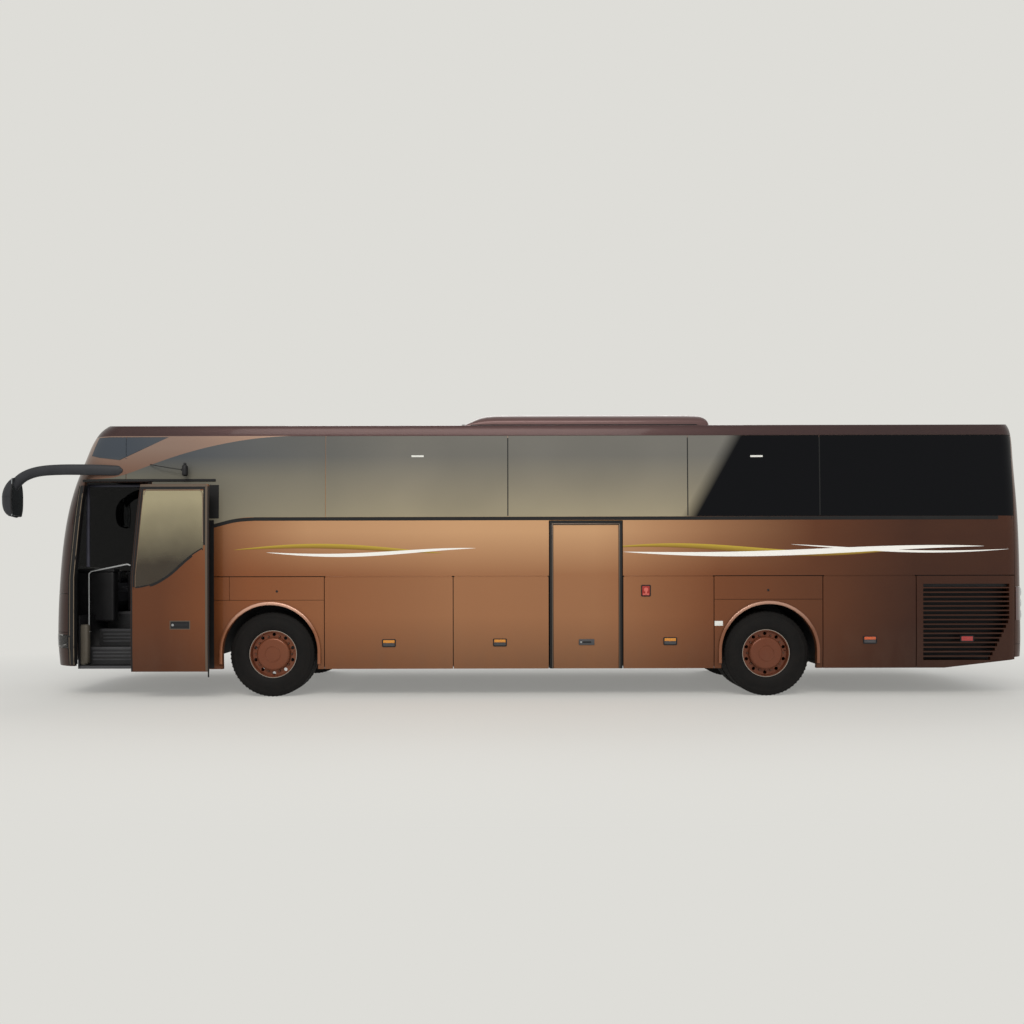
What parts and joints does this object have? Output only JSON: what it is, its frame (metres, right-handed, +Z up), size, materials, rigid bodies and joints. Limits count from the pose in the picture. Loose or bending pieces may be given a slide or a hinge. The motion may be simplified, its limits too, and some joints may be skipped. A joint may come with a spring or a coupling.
{
  "type": "coach bus",
  "caption": "Touring coach with a swing-out entrance door, a middle door, luggage flaps, twin rear wheels, roof cooler, mirrors and a seated saloon.",
  "frame": {"origin": "on the ground, in the middle of the overall box", "axes": "+X from nose to tail, +Y to the offside, +Z up; the entrance is on the -Y side"},
  "size_m": [12.5318, 2.9659, 3.6198],
  "materials": {
    "body_paint": "metallic copper brown, clear coated",
    "dark_paint": "satin dark grey",
    "tinted_glass": "grey-green tint",
    "lamp_lens": "clear lens",
    "red_lens": "ribbed red lens",
    "black_trim": "fine grain",
    "grey_trim": "grained",
    "flooring": "speckled floor sheet",
    "structure": "satin black chassis paint",
    "tyre_rubber": "moulded tread",
    "wheel_paint": "body-colour wheel with a bright rim edge",
    "bare_steel": "brushed",
    "seat_fabric": "woven moquette",
    "mirror_face": "mirror glass",
    "engine_iron": "cast"
  },
  "bodies": {
    "coach": {"side_frames": "body_paint", "side_glass": "tinted_glass", "front_side_glass": "tinted_glass", "arch_panels": "body_paint", "front_frame": "body_paint", "front_mask": "body_paint", "bumpers": "body_paint", "headlamps": "lamp_lens", "windscreen": "tinted_glass", "roof": "body_paint", "roof_cooler": "body_paint", "rear_mask": "body_paint", "tail_lamps": "red_lens", "engine": "engine_iron", "pillar_bearings": "dark_paint", "entry_steps": "flooring", "cab_deck": "flooring", "floor_deck": "flooring", "bulkheads": "structure", "bay_floors": "structure", "rails": "structure", "wheel_liners": "black_trim", "axles": "structure", "air_springs": "black_trim", "passenger_seats": "seat_fabric", "crew_seats": "seat_fabric", "parcel_racks": "grey_trim", "dashboard": "grey_trim", "handrails": "bare_steel", "mirrors": "body_paint", "mirror_glasses": "mirror_face", "wipers": "black_trim"},
    "front_wheel_left": {"rim_front_left": "wheel_paint", "tyre_front_left": "tyre_rubber"},
    "front_wheel_right": {"rim_front_right": "wheel_paint", "tyre_front_right": "tyre_rubber"},
    "rear_wheels_left": {"rims_rear_left": "wheel_paint", "tyres_rear_left": "tyre_rubber"},
    "rear_wheels_right": {"rims_rear_right": "wheel_paint", "tyres_rear_right": "tyre_rubber"},
    "steering_left": {"knuckle_left": "structure"},
    "steering_right": {"knuckle_right": "structure"},
    "hand_wheel": {"steering_wheel": "black_trim"},
    "entrance_pillar": {"entrance_arm": "dark_paint"},
    "entrance_door": {"entrance_leaf": "body_paint", "entrance_glass": "tinted_glass"},
    "middle_pillar": {"middle_arm": "dark_paint"},
    "middle_door": {"middle_leaf": "body_paint"},
    "engine_door": {"engine_lid": "body_paint"},
    "hatch_front": {"roof_hatch_front": "body_paint"},
    "hatch_rear": {"roof_hatch_rear": "body_paint"},
    "flap_one_left_door": {"flap_one_left": "body_paint"},
    "flap_two_left_door": {"flap_two_left": "body_paint"},
    "flap_three_left_door": {"flap_three_left": "body_paint"},
    "flap_four_left_door": {"flap_four_left": "body_paint"},
    "flap_one_right_door": {"flap_one_right": "body_paint"},
    "flap_two_right_door": {"flap_two_right": "body_paint"},
    "flap_three_right_door": {"flap_three_right": "body_paint"},
    "flap_four_right_door": {"flap_four_right": "body_paint"}
  },
  "joints": [
    {"name": "steer_left", "type": "hinge", "parent": "coach", "child": "steering_left", "pos_m": [-3.055, -0.879, 0.522], "axis": [0, 0, 1], "range_deg": [-45, 45]},
    {"name": "front_wheel_left_spin", "type": "hinge", "parent": "steering_left", "child": "front_wheel_left", "pos_m": [-3.055, -1.047, 0.522], "axis": [0, 1, 0], "continuous": true},
    {"name": "rear_wheels_left_spin", "type": "hinge", "parent": "coach", "child": "rear_wheels_left", "pos_m": [3.025, -0.882, 0.522], "axis": [0, 1, 0], "continuous": true},
    {"name": "steer_right", "type": "hinge", "parent": "coach", "child": "steering_right", "pos_m": [-3.055, 0.879, 0.522], "axis": [0, 0, 1], "range_deg": [-45, 45]},
    {"name": "front_wheel_right_spin", "type": "hinge", "parent": "steering_right", "child": "front_wheel_right", "pos_m": [-3.055, 1.047, 0.522], "axis": [0, 1, 0], "continuous": true},
    {"name": "rear_wheels_right_spin", "type": "hinge", "parent": "coach", "child": "rear_wheels_right", "pos_m": [3.025, 0.882, 0.522], "axis": [0, 1, 0], "continuous": true},
    {"name": "hand_wheel_turn", "type": "hinge", "parent": "coach", "child": "hand_wheel", "pos_m": [-5.05512, 0.64, 1.52625], "axis": [0.5736, 0, 0.8192], "range_deg": [-540, 540]},
    {"name": "entrance_swing", "type": "hinge", "parent": "coach", "child": "entrance_pillar", "pos_m": [-4.554, -1.19, 2.553], "axis": [0, 0, 1], "range_deg": [-147.97, 0]},
    {"name": "entrance_carry", "type": "hinge", "parent": "entrance_pillar", "child": "entrance_door", "pos_m": [-4.19429, -1.415, 2.553], "axis": [0, 0, 1], "range_deg": [0, 147.97]},
    {"name": "middle_swing", "type": "hinge", "parent": "coach", "child": "middle_pillar", "pos_m": [1.195, -1.19, 2.111], "axis": [0, 0, -1], "range_deg": [-147.97, 0]},
    {"name": "middle_carry", "type": "hinge", "parent": "middle_pillar", "child": "middle_door", "pos_m": [0.77071, -1.19, 2.111], "axis": [0, 0, -1], "range_deg": [0, 147.97]},
    {"name": "flap_one_left_lift", "type": "hinge", "parent": "coach", "child": "flap_one_left_door", "pos_m": [-1.6095, -1.27029, 1.479], "axis": [-1, 0, 0], "range_deg": [0, 90]},
    {"name": "flap_two_left_lift", "type": "hinge", "parent": "coach", "child": "flap_two_left_door", "pos_m": [-0.24, -1.27029, 1.479], "axis": [-1, 0, 0], "range_deg": [0, 90]},
    {"name": "flap_three_left_lift", "type": "hinge", "parent": "coach", "child": "flap_three_left_door", "pos_m": [1.8015, -1.27029, 1.479], "axis": [-1, 0, 0], "range_deg": [0, 90]},
    {"name": "flap_four_left_lift", "type": "hinge", "parent": "coach", "child": "flap_four_left_door", "pos_m": [4.252, -1.27029, 1.479], "axis": [-1, 0, 0], "range_deg": [0, 90]},
    {"name": "flap_one_right_lift", "type": "hinge", "parent": "coach", "child": "flap_one_right_door", "pos_m": [-1.6095, 1.27029, 1.479], "axis": [1, 0, 0], "range_deg": [0, 90]},
    {"name": "flap_two_right_lift", "type": "hinge", "parent": "coach", "child": "flap_two_right_door", "pos_m": [-0.01425, 1.27029, 1.479], "axis": [1, 0, 0], "range_deg": [0, 90]},
    {"name": "flap_three_right_lift", "type": "hinge", "parent": "coach", "child": "flap_three_right_door", "pos_m": [1.57575, 1.27029, 1.479], "axis": [1, 0, 0], "range_deg": [0, 90]},
    {"name": "flap_four_right_lift", "type": "hinge", "parent": "coach", "child": "flap_four_right_door", "pos_m": [4.252, 1.27029, 1.479], "axis": [1, 0, 0], "range_deg": [0, 90]},
    {"name": "engine_lid_lift", "type": "hinge", "parent": "coach", "child": "engine_door", "pos_m": [6.24279, 0, 1.895], "axis": [0, -1, 0], "range_deg": [0, 80]},
    {"name": "hatch_front_lift", "type": "hinge", "parent": "coach", "child": "hatch_front", "pos_m": [-1.735, 0, 3.452], "axis": [0, 1, 0], "range_deg": [0, 60]},
    {"name": "hatch_rear_lift", "type": "hinge", "parent": "coach", "child": "hatch_rear", "pos_m": [4.205, 0, 3.452], "axis": [0, 1, 0], "range_deg": [0, 60]}
  ],
  "couplings": [
    {"joint": "steer_right", "follows": "steer_left", "ratio": 1},
    {"joint": "hand_wheel_turn", "follows": "steer_left", "ratio": 12},
    {"joint": "entrance_carry", "follows": "entrance_swing", "ratio": -1},
    {"joint": "middle_carry", "follows": "middle_swing", "ratio": -1}
  ]
}
